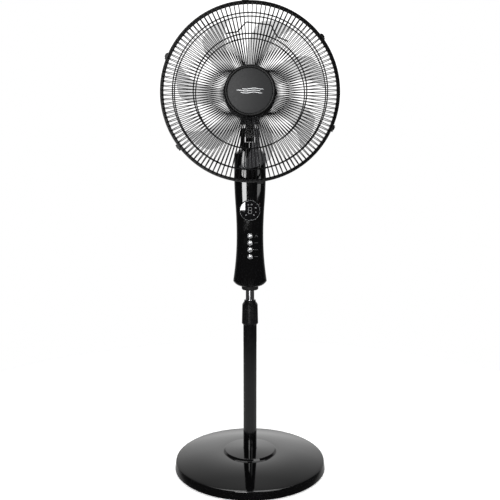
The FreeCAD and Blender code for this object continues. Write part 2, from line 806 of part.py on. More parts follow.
def clip(angle):
    """A hinged catch: barrel on the pin, arm over the band and hook on its front edge."""
    pin_r, pin_z = CLIP_PIN
    half = 6.1
    barrel = rod_y(2.2, -half, half, pin_r, pin_z)
    arm = block((BAND_R + 0.5, BAND_R + 3), (-half, half), (pin_z, BAND_HALF + 2.4))
    hook = block((SPOKE_END_R + 1.2, BAND_R + 3), (-half, half), (BAND_HALF + 0.4, BAND_HALF + 2.4))
    tab = block((BAND_R + 0.5, BAND_R + 4.5), (-half + 2, half - 2), (BAND_HALF - 1, BAND_HALF + 2.4))
    body = arm.fuse([barrel, hook, tab]).removeSplitter()
    return turned_by(body.cut(rod_y(1 + RUN, -half - 1, half + 1, pin_r, pin_z)), angle)


def carry_handle():
    """Bent wire behind the top of the rear grille, with its ends along the spokes."""
    outwards = SPOKE_R + HANDLE_R + 0.4
    half = (
        (29, 158, -face_height(158, outwards)),
        (18.5, 154, -face_height(154, outwards)),
        (10, 179, -HANDLE_OUT))
    corners = [(HANDLE_ANGLE + turn, r, z) for turn, r, z in half]
    corners += [(HANDLE_ANGLE - turn, r, z) for turn, r, z in reversed(half)]
    points = []
    for angle, r, z in corners:
        a = math.radians(angle)
        points.append(Vec(r * math.cos(a), r * math.sin(a), z))
    return bent_wire(points, 6.0, HANDLE_R)


def bent_wire(points, bend, radius):
    """A round wire along straight runs, with an arc of the given bend radius at each corner."""
    edges = []
    here = points[0]
    for before, corner, after in zip(points, points[1:], points[2:]):
        back = (before - corner).normalize()
        ahead = (after - corner).normalize()
        half = back.getAngle(ahead) / 2
        reach = bend / math.tan(half)
        middle = (back + ahead).normalize()
        arc_mid = corner + middle * (bend / math.sin(half) - bend)
        start = corner + back * reach
        end = corner + ahead * reach
        edges.append(Part.makeLine(here, start))
        edges.append(Part.Arc(start, arc_mid, end).toShape())
        here = end
    edges.append(Part.makeLine(here, points[-1]))
    path = Part.Wire(edges)
    section = Part.Wire(Part.makeCircle(radius, points[0], points[1] - points[0]))
    return path.makePipeShell([section], True, False)


# ---------------------------------------------------------------- all nodes

def main():
    os.makedirs("parts", exist_ok=True)

    save("base_cover", base_cover())
    save("base_weight", base_weight())
    save("base_plate", base_plate())
    save("rubber_feet", rubber_feet())
    save("pole_socket", pole_socket())
    save("base_hand_nut", base_hand_nut())
    save("outer_tube", outer_tube())
    save("collar_sleeve", collar_sleeve())
    save("height_lock_ring", height_lock_ring())

    save("inner_tube", inner_tube())
    save("tube_guide", tube_guide())
    save("tube_socket", tube_socket())
    save("column_lock_ring", column_lock_ring())
    front, rear = column_halves()
    save("column_front_shell", front)
    save("column_rear_shell", rear)
    save("shell_screws", shell_screws())
    save("display_ring", display_ring())
    save("display_lens", display_lens())
    save("display_board", display_board())
    save("remote_window", rod_y(1.5, -30.6, -27, 24.8, DISPLAY_Z + 17))
    save("button_board", button_board())
    save("main_board", main_board())
    save("cord_gland", cord_gland())
    save("swing_motor", swing_motor())
    save("neck_bearing", neck_bearing())
    for name, z in zip(BUTTON_NAMES, button_heights()):
        save(name, button(z))

    save("neck_yoke", neck_yoke())
    save("swing_shaft", swing_shaft())
    save("tilt_bolt", tilt_bolt())
    save("tilt_washers", tilt_washers())

    save("tilt_arm", tilt_arm())
    save("motor_front_cover", on_head(motor_front_cover()))
    save("motor_rear_cover", on_head(motor_rear_cover()))
    save("stator_core", on_head(stator_core()))
    save("stator_coils", on_head(stator_coils()))
    save("motor_bearings", on_head(motor_bearings()))
    save("motor_shaft", on_head(motor_shaft()))
    save("rotor_core", on_head(rotor_core()))
    save("fan_blades", on_head(fan_blades()))
    save("spinner_nut", on_head(spinner_nut()))

    spokes = grille_spokes()
    hoops = grille_hoops()
    save("front_grille_spokes", on_cage(spokes))
    save("front_grille_hoops", on_cage(hoops))
    save("front_grille_plate", on_cage(front_grille_plate()))
    save("hub_bezel", on_cage(hub_bezel()))
    save("medallion", on_cage(medallion()))
    save("rear_grille_spokes", on_cage(flipped(spokes)))
    save("rear_grille_hoops", on_cage(flipped(hoops)))
    save("rear_grille_plate", on_cage(rear_grille_plate()))
    save("grille_lock_nut", on_head(grille_lock_nut()))
    save("carry_handle", on_cage(carry_handle()))
    save("grille_ring", on_cage(grille_ring()))
    for number, angle in enumerate(CLIP_ANGLES, 1):
        save("cage_clip_%d" % number, on_cage(clip(angle)))


main()
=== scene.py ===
"""The looks of the pedestal fan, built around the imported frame.

Units are metres.  Sizes given in millimetres carry MM, or a comment says so.  +Z is up, the fan blows
towards -Y, and the frame says where every CAD node lies.
"""

import json
import math

import bmesh
import bpy
from mathutils import Matrix, Vector


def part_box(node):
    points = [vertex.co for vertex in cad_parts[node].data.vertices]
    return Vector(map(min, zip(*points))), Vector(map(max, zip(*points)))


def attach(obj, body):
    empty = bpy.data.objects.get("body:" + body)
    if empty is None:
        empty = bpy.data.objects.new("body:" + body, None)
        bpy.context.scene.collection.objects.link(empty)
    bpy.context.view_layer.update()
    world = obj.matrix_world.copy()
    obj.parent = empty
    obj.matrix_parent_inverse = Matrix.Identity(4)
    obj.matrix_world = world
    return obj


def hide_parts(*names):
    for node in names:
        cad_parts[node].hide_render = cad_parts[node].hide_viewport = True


MM = 0.001
CRISP_ANGLE = 32              # degrees; edges sharper than this are shaded as edges

# Places and sizes that the frame gives
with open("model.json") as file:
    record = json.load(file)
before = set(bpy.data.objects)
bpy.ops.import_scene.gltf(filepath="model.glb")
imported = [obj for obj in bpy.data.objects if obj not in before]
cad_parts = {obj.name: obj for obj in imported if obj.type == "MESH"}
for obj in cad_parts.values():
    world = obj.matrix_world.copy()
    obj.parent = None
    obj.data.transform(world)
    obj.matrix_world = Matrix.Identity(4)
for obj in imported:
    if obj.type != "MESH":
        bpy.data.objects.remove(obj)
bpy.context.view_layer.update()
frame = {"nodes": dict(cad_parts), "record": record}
NODES = frame["nodes"]
SLOT_OF = {part["node"]: part["material_slot"] for part in frame["record"]["subparts"]}
HEAD_Z = (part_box("medallion")[0].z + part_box("medallion")[1].z) / 2
COLUMN_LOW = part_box("column_front_shell")[0].z
COLUMN_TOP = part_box("column_front_shell")[1].z
BASE_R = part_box("base_cover")[1].x
BASE_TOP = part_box("base_cover")[1].z
BASE_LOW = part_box("base_cover")[0].z
POLE_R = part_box("outer_tube")[1].x
DISPLAY_Z = (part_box("display_lens")[0].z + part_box("display_lens")[1].z) / 2
DISPLAY_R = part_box("display_lens")[1].x
DISPLAY_FRONT = -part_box("display_lens")[0].y
BUTTONS = ("button_power", "button_speed", "button_swing", "button_timer")
BUTTON_Z = {name: (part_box(name)[0].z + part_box(name)[1].z) / 2 for name in BUTTONS}
BUTTON_FRONT = -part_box("button_power")[0].y
HUB_BACK = -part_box("hub_bezel")[1].y
HUB_FRONT = -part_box("hub_bezel")[0].y
HUB_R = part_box("hub_bezel")[1].x
MEDALLION_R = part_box("medallion")[1].x
MEDALLION_FRONT = -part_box("medallion")[0].y

# Base cover, in millimetres
BASE_POLE_GAP = 0.2
LIP_TOP = 24.9                # height at which the dome starts
DOME_START = 6                # its distance from the edge of the base
DOME_RISE = 17.1
DOME_FULLNESS = 0.92          # exponent of the sine that the dome follows: 1 is a plain sine
DOME_STEPS = 38
DOME_STEP = 3.3
BOSS_FOOT_R = 72

# Column
COLUMN_WALL = 2.5 * MM
COLUMN_SQUARENESS = 3.2       # exponent of the superellipse in plan: 2 is an ellipse
COLUMN_SECTIONS = (           # height, half width, half depth, in millimetres
    (486, 46.5, 33.0), (528, 40.7, 33.0), (575, 36.2, 33.0), (628, 34.7, 33.0),
    (680, 36.2, 32.6), (730, 39.4, 32.0), (775, 41.0, 31.5), (815, 41.0, 31.0), (856, 41.0, 31.0))
COLUMN_MOUTH_R = 18 * MM      # hole in the floor and in the roof of the column
BOWL_R = 22.4 * MM            # flat part of the column's underside
ROOF_R = 23.5 * MM            # flat part of its top
ROOF_SLOPE = 0.7
SEAM_ANGLE = 0.25             # degrees left free at each seam between the half shells
SEAM_GROOVE = 0.35 * MM
BOWL_STEPS = 12
WALL_STEPS = 110
ROOF_STEPS = 5
HALF_SHELL_STEPS = 96

# Display and buttons
TRIM_WIDTH = 0.6 * MM
LENS_R = 25.1 * MM            # clear part of the lens, inside its bright trim
BUTTON_R = 6.75 * MM
BUTTON_GAP = 0.3 * MM
DOME = 3.0 * MM               # rise of a button's face
MARK_X = 16 * MM              # middle of the marks beside the buttons
MARK_REACH = 4.5 * MM
REMOTE_X = 24.8 * MM
REMOTE_UP = 17 * MM
INK = 0.06 * MM               # thickness of printed marks

# Hub of the cage
MEDALLION_RISE = 2.5 * MM


# ---------------------------------------------------------------- mesh helpers

def mesh_object(name, points, faces, smooth=True):
    """A new mesh object from points and faces, with consistent outward normals."""
    mesh = bpy.data.meshes.new(name)
    mesh.from_pydata([tuple(p) for p in points], [], faces)
    mesh.validate()
    work = bmesh.new()
    work.from_mesh(mesh)
    bmesh.ops.remove_doubles(work, verts=work.verts, dist=1e-7)
    bmesh.ops.recalc_face_normals(work, faces=work.faces)
    work.to_mesh(mesh)
    work.free()
    mesh.polygons.foreach_set("use_smooth", [smooth] * len(mesh.polygons))
    obj = bpy.data.objects.new(name, mesh)
    bpy.context.scene.collection.objects.link(obj)
    return obj


def arc_points(before, corner, after, radius, steps):
    """Points of a round of the given radius between the runs before-corner and corner-after."""
    back = (Vector(before) - Vector(corner)).normalized()
    ahead = (Vector(after) - Vector(corner)).normalized()
    half = back.angle(ahead) / 2
    reach = radius / math.tan(half)
    centre = Vector(corner) + (back + ahead).normalized() * (radius / math.sin(half))
    first = Vector(corner) + back * reach - centre
    last = Vector(corner) + ahead * reach - centre
    turn = math.atan2(first.x * last.y - first.y * last.x, first.dot(last))
    points = []
    for i in range(steps + 1):
        angle = turn * i / steps
        c = math.cos(angle)
        s = math.sin(angle)
        points.append(centre + Vector((c * first.x - s * first.y, s * first.x + c * first.y)))
    return points


def rounded(corners, steps=5):
    """A closed outline from corners (r, z) or (r, z, radius), in millimetres: the ones with a radius
    are rounded."""
    points = []
    count = len(corners)
    for i, corner in enumerate(corners):
        if len(corner) == 2:
            points.append(Vector(corner) * MM)
        else:
            before = Vector(corners[i - 1][:2]) * MM
            after = Vector(corners[(i + 1) % count][:2]) * MM
            points += arc_points(before, Vector(corner[:2]) * MM, after, corner[2] * MM, steps)
    return points


def lathe(name, outline, segments=160):
    """Turn a closed outline of (r, z) points about Z."""
    rings = []
    for i in range(segments):
        angle = 2 * math.pi * i / segments
        rings.append([(p[0] * math.cos(angle), p[0] * math.sin(angle), p[1]) for p in outline])
    return loft(name, rings, closed=True)


def loft(name, outlines, closed=False):
    """Skin a row of closed outlines of equal count.  An open row gets a face at each end."""
    rows = len(outlines[0])
    points = [p for outline in outlines for p in outline]
    faces = []
    spans = len(outlines) if closed else len(outlines) - 1
    for i in range(spans):
        here = i * rows
        there = ((i + 1) % len(outlines)) * rows
        for j in range(rows):
            k = (j + 1) % rows
            faces.append((here + j, there + j, there + k, here + k))
    if not closed:
        faces.append(tuple(range(rows)))
        faces.append(tuple((len(outlines) - 1) * rows + j for j in range(rows)))
    return crisp(mesh_object(name, points, faces))


def crisp(obj):
    """Split the shading at sharp edges."""
    split = obj.modifiers.new("crisp", "EDGE_SPLIT")
    split.split_angle = math.radians(CRISP_ANGLE)
    split.use_edge_sharp = False
    return obj


def settle(obj):
    """Put a piece's modifiers into its mesh."""
    graph = bpy.context.evaluated_depsgraph_get()
    mesh = bpy.data.meshes.new_from_object(obj.evaluated_get(graph))
    obj.modifiers.clear()
    obj.data = mesh
    return obj


def cut(obj, cutters):
    """Cut round holes in a piece and drop the cutters."""
    obj.modifiers.clear()
    for cutter in cutters:
        cutter.modifiers.clear()
        hole = obj.modifiers.new("hole", "BOOLEAN")
        hole.operation = "DIFFERENCE"
        hole.solver = "EXACT"
        hole.object = cutter
    settle(obj)
    for cutter in cutters:
        bpy.data.objects.remove(cutter)
    return crisp(obj)


def facing(obj, height, x=0.0):
    """Turn a piece drawn about Z so that its top faces the front, and lift it to its height."""
    turn = Matrix.Rotation(math.radians(90), 4, "X")
    obj.data.transform(Matrix.Translation((x, 0.0, height)) @ turn)
    return obj


def place(obj, body, slot, material, *nodes):
    """Give a piece its body and material, and say which CAD nodes it stands for.  The slot is not used."""
    obj.data.materials.clear()
    obj.data.materials.append(material)
    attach(obj, body)
    if nodes:
        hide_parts(*nodes)


def ribbon(line, width, closed=False):
    """The left and right edge of a drawn line of even width, as pairs of points."""
    points = [Vector(p) for p in line]
    count = len(points)
    pairs = []
    for i, point in enumerate(points):
        before = points[i - 1] if closed or i > 0 else point
        after = points[(i + 1) % count] if closed or i < count - 1 else point
        side = (after - before).normalized().orthogonal() * (width / 2)
        pairs.append((point + side, point - side))
    return pairs


def in_steps(line, count=6):
    """The same line with more points, so that it follows a curved surface."""
    points = []
    for (x0, y0), (x1, y1) in zip(line, line[1:]):
        points += [(x0 + (x1 - x0) * i / count, y0 + (y1 - y0) * i / count) for i in range(count)]
    return points + [line[-1]]


def inked(name, strokes, surface):
    """Printed marks: each stroke is (line, width, closed), and surface(x, y) gives the place on the
    object for a point of the drawing."""
    points = []
    faces = []
    for line, width, closed in strokes:
        pairs = ribbon(line, width, closed)
        start = len(points)
        for left, right in pairs:
            points.append(surface(left.x, left.y))
            points.append(surface(right.x, right.y))
        spans = len(pairs) if closed else len(pairs) - 1
        for i in range(spans):
            a = start + 2 * i
            b = start + 2 * ((i + 1) % len(pairs))
            faces.append((a, b, b + 1, a + 1))
    obj = mesh_object(name, points, faces, smooth=False)
    thick = obj.modifiers.new("thickness", "SOLIDIFY")
    thick.thickness = INK
    thick.offset = 0
    return obj


# ---------------------------------------------------------------- material helpers

def shader(name, colour, roughness, **sockets):
    """A new material with a Principled shader whose even values are set on its own sockets."""
    material = bpy.data.materials.new(name)
    material.use_nodes = True
    bsdf = material.node_tree.nodes["Principled BSDF"]
    bsdf.inputs["Base Color"].default_value = (*colour, 1)
    bsdf.inputs["Roughness"].default_value = roughness
    for socket, value in sockets.items():
        title = "Specular IOR Level" if socket == "Specular" else socket.replace("_", " ")
        bsdf.inputs[title].default_value = value
    return material


def noise(material, scale, detail=3.0, stretch=(1, 1, 1)):
    """A noise texture in the piece's own coordinates, stretched along its axes."""
    tree = material.node_tree
    place_in = tree.nodes.new("ShaderNodeTexCoord")
    mapping = tree.nodes.new("ShaderNodeMapping")
    texture = tree.nodes.new("ShaderNodeTexNoise")
    mapping.inputs["Scale"].default_value = stretch
    texture.inputs["Scale"].default_value = scale
    texture.inputs["Detail"].default_value = detail
    tree.links.new(place_in.outputs["Object"], mapping.inputs["Vector"])
    tree.links.new(mapping.outputs["Vector"], texture.inputs["Vector"])
    return texture


def ramp(material, source, low, high, socket, start=0.35, end=0.65):
    """Drive a socket of the shader with a texture, from low to high."""
    tree = material.node_tree
    span = tree.nodes.new("ShaderNodeMapRange")
    span.inputs["From Min"].default_value = start
    span.inputs["From Max"].default_value = end
    span.inputs["To Min"].default_value = low
    span.inputs["To Max"].default_value = high
    tree.links.new(source.outputs[0], span.inputs["Value"])
    tree.links.new(span.outputs["Result"], tree.nodes["Principled BSDF"].inputs[socket])


def tint(material, source, low, high, start=0.3, end=0.7):
    """Blend the base colour between two colours with a texture."""
    tree = material.node_tree
    mix = tree.nodes.new("ShaderNodeValToRGB")
    mix.color_ramp.elements[0].position = start
    mix.color_ramp.elements[0].color = (*low, 1)
    mix.color_ramp.elements[1].position = end
    mix.color_ramp.elements[1].color = (*high, 1)
    tree.links.new(source.outputs[0], mix.inputs["Fac"])
    tree.links.new(mix.outputs["Color"], tree.nodes["Principled BSDF"].inputs["Base Color"])


def bump(material, source, strength, distance):
    """Raise the surface with a texture, by a distance in metres."""
    tree = material.node_tree
    node = tree.nodes.new("ShaderNodeBump")
    node.inputs["Strength"].default_value = strength
    node.inputs["Distance"].default_value = distance
    tree.links.new(source.outputs[0], node.inputs["Height"])
    tree.links.new(node.outputs["Normal"], tree.nodes["Principled BSDF"].inputs["Normal"])


# ---------------------------------------------------------------- materials

def gloss_black():
    """Polished black ABS: a faint moulding wave and a roughness that wanders a little."""
    m = shader("gloss_black", (0.0015, 0.0015, 0.0017), 0.06)
    tint(m, noise(m, 9), (0.0012, 0.0012, 0.0013), (0.002, 0.002, 0.0022))
    ramp(m, noise(m, 60), 0.035, 0.075, "Roughness")
    bump(m, noise(m, 14, 1.0), 0.05, 0.0004)
    return m


def satin_black():
    """Finely spark-eroded black plastic."""
    m = shader("satin_black", (0.0022, 0.0022, 0.0024), 0.24)
    tint(m, noise(m, 30), (0.0018, 0.0018, 0.002), (0.003, 0.003, 0.0033))
    ramp(m, noise(m, 220), 0.18, 0.28, "Roughness")
    bump(m, noise(m, 2600, 2.0), 0.2, 0.00004)
    return m


def pole_paint():
    """Gloss powder coat with its fine orange peel."""
    m = shader("pole_paint", (0.0018, 0.0018, 0.002), 0.1)
    tint(m, noise(m, 16), (0.0014, 0.0014, 0.0016), (0.0025, 0.0025, 0.0027))
    ramp(m, noise(m, 90), 0.07, 0.14, "Roughness")
    bump(m, noise(m, 420, 1.0), 0.12, 0.00008)
    return m


def wire_paint():
    """Thin black coat on steel wire, a little duller where it pooled."""
    m = shader("wire_paint", (0.003, 0.003, 0.0033), 0.3, Specular=0.08)
    tint(m, noise(m, 40), (0.0022, 0.0022, 0.0025), (0.0045, 0.0045, 0.005))
    ramp(m, noise(m, 150), 0.22, 0.38, "Roughness")
    bump(m, noise(m, 900, 1.0), 0.1, 0.00004)
    return m


def chrome():
    """Bright plating with faint drawing lines along its length."""
    m = shader("chrome", (0.8, 0.81, 0.83), 0.08, Metallic=1.0)
    tint(m, noise(m, 25), (0.74, 0.75, 0.78), (0.86, 0.87, 0.88))
    ramp(m, noise(m, 500, 2.0, (1, 1, 0.02)), 0.04, 0.12, "Roughness")
    bump(m, noise(m, 700, 1.0, (1, 1, 0.02)), 0.05, 0.00002)
    return m


def button_plating():
    """Satin plating of the buttons, finely blasted so that it shines evenly."""
    m = shader("button_plating", (0.8, 0.81, 0.82), 0.3, Metallic=1.0)
    tint(m, noise(m, 60), (0.76, 0.77, 0.78), (0.86, 0.87, 0.88))
    ramp(m, noise(m, 400), 0.27, 0.35, "Roughness")
    bump(m, noise(m, 3000, 2.0), 0.1, 0.00002)
    return m


def medallion_grain():
    """Dark grey satin with a fine sparkle."""
    m = shader("medallion", (0.0125, 0.0128, 0.0135), 0.45, Specular=0.14)
    tint(m, noise(m, 1500, 2.0), (0.009, 0.0092, 0.0098), (0.016, 0.0164, 0.0172))
    ramp(m, noise(m, 900, 2.0), 0.36, 0.5, "Roughness")
    bump(m, noise(m, 1800, 2.0), 0.3, 0.00006)
    return m


def hub_black():
    """Semi-gloss black of the ring round the medallion."""
    m = shader("hub_black", (0.0014, 0.0014, 0.0016), 0.3, Specular=0.1)
    tint(m, noise(m, 30), (0.0011, 0.0011, 0.0013), (0.0018, 0.0018, 0.002))
    ramp(m, noise(m, 120), 0.26, 0.36, "Roughness")
    bump(m, noise(m, 2200, 2.0), 0.12, 0.00003)
    return m


def smoked_blade():
    """Smoky translucent styrene."""
    m = shader("smoked_blade", (0.1, 0.1, 0.105), 0.3, Alpha=0.3, Specular=0.12)
    tint(m, noise(m, 12), (0.085, 0.085, 0.09), (0.115, 0.115, 0.12))
    ramp(m, noise(m, 70), 0.26, 0.34, "Roughness")
    bump(m, noise(m, 20, 1.0), 0.04, 0.0004)
    return m


def display_glass():
    """Deep black polished lens."""
    m = shader("display_glass", (0.002, 0.002, 0.0025), 0.005, Specular=1.0)
    tint(m, noise(m, 20), (0.0015, 0.0015, 0.002), (0.003, 0.003, 0.0035))
    ramp(m, noise(m, 40), 0.0, 0.012, "Roughness")
    return m


def satin_metal(name, low, high, rough_low, rough_high, stretch=(1, 1, 1), scale=300.0):
    """Bare metal with fine machining or rolling marks."""
    m = shader(name, high, rough_high, Metallic=1.0)
    tint(m, noise(m, 40), low, high)
    ramp(m, noise(m, scale, 3.0, stretch), rough_low, rough_high, "Roughness")
    bump(m, noise(m, scale * 2, 2.0, stretch), 0.12, 0.00004)
    return m


def plain_plastic(name, low, high, rough_low, rough_high, scale=60.0, grain=0.00004, **sockets):
    """Moulded plastic, rubber or cast metal: a colour that wanders and a fine grain."""
    m = shader(name, high, rough_high, **sockets)
    tint(m, noise(m, scale), low, high)
    ramp(m, noise(m, scale * 3), rough_low, rough_high, "Roughness")
    bump(m, noise(m, scale * 20, 2.0), 0.3, grain)
    return m


def make_materials():
    """One material for each slot of the record by the slot's name, and the two that only looks need."""
    return {
        "gloss_black": gloss_black(),
        "satin_black": satin_black(),
        "pole_paint": pole_paint(),
        "wire_paint": wire_paint(),
        "chrome": chrome(),
        "button_plating": button_plating(),
        "medallion": medallion_grain(),
        "hub_black": hub_black(),
        "blade": smoked_blade(),
        "display_glass": display_glass(),
        "display_trim": satin_metal("display_trim", (0.16, 0.165, 0.17), (0.24, 0.245, 0.25), 0.3, 0.4),
        "remote_glass": plain_plastic("remote_glass", (0.02, 0.008, 0.009), (0.035, 0.012, 0.013), 0.05, 0.1,
                                      80, 0.00001),
        "iron": plain_plastic("iron", (0.05, 0.05, 0.052), (0.11, 0.105, 0.1), 0.5, 0.75, 40, 0.0003,
                              Metallic=0.8),
        "steel": satin_metal("steel", (0.42, 0.43, 0.44), (0.6, 0.61, 0.62), 0.22, 0.42),
        "copper": satin_metal("copper", (0.5, 0.22, 0.1), (0.75, 0.38, 0.2), 0.25, 0.4, (1, 30, 1), 60),
        "bronze": satin_metal("bronze", (0.45, 0.32, 0.15), (0.62, 0.46, 0.24), 0.3, 0.45),
        "rubber": plain_plastic("rubber", (0.012, 0.012, 0.012), (0.022, 0.022, 0.022), 0.6, 0.8, 90, 0.0001),
        "board": plain_plastic("board", (0.02, 0.12, 0.05), (0.04, 0.2, 0.09), 0.3, 0.5, 200, 0.00003),
        "nylon": plain_plastic("nylon", (0.68, 0.66, 0.6), (0.8, 0.78, 0.72), 0.35, 0.5, 50),
    }


MATERIALS = make_materials()


def printed_white():
    """Pad-printed off-white ink."""
    m = shader("printed_white", (0.62, 0.63, 0.64), 0.35)
    tint(m, noise(m, 400, 2.0), (0.52, 0.53, 0.54), (0.7, 0.71, 0.72))
    ramp(m, noise(m, 900), 0.28, 0.42, "Roughness")
    return m


def lamp_grey():
    """Unlit lamp segments behind the lens."""
    m = shader("lamp_grey", (0.2, 0.2, 0.205), 0.3)
    tint(m, noise(m, 500, 2.0), (0.16, 0.16, 0.165), (0.25, 0.25, 0.255))
    ramp(m, noise(m, 900), 0.26, 0.36, "Roughness")
    return m


def printed_grey():
    """Thin grey ink that lets some of the black through."""
    m = shader("printed_grey", (0.07, 0.07, 0.072), 0.3)
    tint(m, noise(m, 500, 2.0), (0.05, 0.05, 0.052), (0.09, 0.09, 0.092))
    ramp(m, noise(m, 900), 0.24, 0.36, "Roughness")
    return m


WHITE_INK = printed_white()
LAMP_GREY = lamp_grey()
GREY_INK = printed_grey()


def dress_cad_nodes():
    """Give every CAD node the material of its slot and smooth shading.  The ring and the clips of the
    cage are duller than their slot says, like the hub."""
    for name, obj in NODES.items():
        duller = name == "grille_ring" or name.startswith("cage_clip")
        obj.data.materials.clear()
        obj.data.materials.append(MATERIALS["hub_black" if duller else SLOT_OF[name]])
        obj.data.polygons.foreach_set("use_smooth", [True] * len(obj.data.polygons))


# ---------------------------------------------------------------- base and pole

def base_cover():
    """The thin moulded disc: flared side wall, rounded lip, shallow dome and raised boss."""
    r = BASE_R / MM
    top = BASE_TOP / MM
    low = BASE_LOW / MM
    hole = POLE_R / MM + BASE_POLE_GAP
    boss_depth = 3
    dome = []
    for i in range(1, DOME_STEPS):
        rise = math.sin(math.radians(90 * i / DOME_STEPS)) ** DOME_FULLNESS
        dome.append((r - DOME_START - DOME_STEP * i, LIP_TOP + DOME_RISE * rise))
    dome = [point for point in dome if point[0] > BOSS_FOOT_R]
    side = [(r - 3, low), (r, low), (r - 3, 24.2, 2.2)]
    boss = [(70.0, 42.0, 2.0), (66.6, 47.6, 1.6), (hole, top), (hole, top - boss_depth)]
    inside = [(62, 44.6), (66, 39), (137, 32.7), (r - 8, 21.5)]
    cover = lathe("base_cover_smooth", rounded(side + dome + boss + inside), 256)
    place(cover, "stand", "gloss_black", MATERIALS["gloss_black"], "base_cover")


def pole_seal():
    """Thin lip round the pole where it enters the base."""
    r = POLE_R / MM
    z = BASE_TOP / MM
    outline = rounded([(r + 0.3, z - 1), (r + 3.2, z - 1), (r + 2.6, z - 0.1, 0.4), (r + 0.3, z, 0.3)], 3)
    place(lathe("pole_seal", outline), "stand", "satin_black", MATERIALS["satin_black"])


# ---------------------------------------------------------------- control column

def section_at(z):
    """Half width and half depth of the column at a height, in metres, smooth through the sections."""
    height = z / MM
    rows = COLUMN_SECTIONS
    i = 0
    while i < len(rows) - 2 and height > rows[i + 1][0]:
        i += 1
    low, high = rows[i], rows[i + 1]
    before = rows[max(i - 1, 0)]
    after = rows[min(i + 2, len(rows) - 1)]
    span = high[0] - low[0]
    t = (height - low[0]) / span
    sizes = []
    for k in (1, 2):
        start_slope = (high[k] - before[k]) / (high[0] - before[0]) * span
        end_slope = (after[k] - low[k]) / (after[0] - low[0]) * span
        value = (low[k] * (2 * t ** 3 - 3 * t ** 2 + 1) + start_slope * (t ** 3 - 2 * t ** 2 + t)
                 + high[k] * (3 * t ** 2 - 2 * t ** 3) + end_slope * (t ** 3 - t ** 2))
        sizes.append(value * MM)
    return sizes


def column_radius(angle, z, inset):
    """Distance from the axis to the wall, in a direction and at a height."""
    width, depth = section_at(z)
    power = COLUMN_SQUARENESS
    across = abs(math.cos(angle)) / (width - inset)
    along = abs(math.sin(angle)) / (depth - inset)
    return (across ** power + along ** power) ** (-1 / power)


def bowl_height(r, low):
    """Height of the bowl under the column at a radius: a round from the flat floor into a flare."""
    reach = max(r - BOWL_R, 0.0)
    bend = 24.5 * MM
    flare = 20.5 * MM
    if reach < flare:
        return low + bend - math.sqrt(bend ** 2 - reach ** 2)
    start = bend - math.sqrt(bend ** 2 - flare ** 2)
    return low + start + (reach - flare) * flare / math.sqrt(bend ** 2 - flare ** 2)


def roof_height(r, top):
    """Height of the sloping shoulder at the top of the column."""
    return top - max(r - ROOF_R, 0.0) * ROOF_SLOPE


def crease(angle, inset, height_at):
    """Radius at which the wall meets the bowl or the shoulder, by halving the interval."""
    near = BOWL_R
    far = 60 * MM
    halvings = 40
    for _ in range(halvings):
        middle = (near + far) / 2
        if column_radius(angle, height_at(middle), inset) > middle:
            near = middle
        else:
            far = middle
    return near


def column_profile(angle, inset, low, top, shrink=0.0):
    """One side of the column from the mouth in its floor to the mouth in its roof, as 3D points."""
    def under(r):
        return bowl_height(r, low)

    def over(r):
        return roof_height(r, top)

    low_r = crease(angle, inset, under)
    top_r = crease(angle, inset, over)
    line = [(COLUMN_MOUTH_R, low)]
    for i in range(BOWL_STEPS + 1):
        r = BOWL_R + (low_r - BOWL_R) * i / BOWL_STEPS
        line.append((r, under(r)))
    start = line[-1][1]
    end = over(top_r)
    for i in range(1, WALL_STEPS):
        z = start + (end - start) * i / WALL_STEPS
        line.append((column_radius(angle, z, inset), z))
    for i in range(ROOF_STEPS + 1):
        r = top_r + (ROOF_R - top_r) * i / ROOF_STEPS
        line.append((r, over(r)))
    line.append((COLUMN_MOUTH_R, top))
    return [((r - shrink) * math.cos(angle), (r - shrink) * math.sin(angle), z) for r, z in line]


def column_half(name, first, last):
    """A closed half shell between two directions, with a fine groove along its seams."""
    outlines = []
    for i in range(HALF_SHELL_STEPS + 1):
        angle = math.radians(first + (last - first) * i / HALF_SHELL_STEPS)
        edge = SEAM_GROOVE if i in (0, HALF_SHELL_STEPS) else 0.0
        outer = column_profile(angle, 0.0, COLUMN_LOW, COLUMN_TOP, edge)
        inner = column_profile(angle, COLUMN_WALL, COLUMN_LOW + COLUMN_WALL, COLUMN_TOP - COLUMN_WALL)
        outlines.append(outer + inner[::-1])
    return loft(name, outlines)


def hole_cutter(radius, x, z):
    """A round cutter that goes from well in front of the column to behind its front wall."""
    back = 10 * MM
    ahead = 80 * MM
    outline = [(0.0, back), (radius, back), (radius, ahead), (0.0, ahead)]
    return facing(lathe("cutter", outline, 72), z, x)


def column_front():
    """The front half of the column, with openings for the display, the remote window and the buttons."""
    display_gap = 1.2 * MM
    window_r = 1.6 * MM
    front = column_half("column_front", 180 + SEAM_ANGLE, 360 - SEAM_ANGLE)
    cutters = [hole_cutter(DISPLAY_R + display_gap, 0, DISPLAY_Z),
               hole_cutter(window_r, REMOTE_X, DISPLAY_Z + REMOTE_UP)]
    cutters += [hole_cutter(BUTTON_R + BUTTON_GAP, 0, z) for z in BUTTON_Z.values()]
    cut(front, cutters)
    place(front, "column", "gloss_black", MATERIALS["gloss_black"], "column_front_shell")


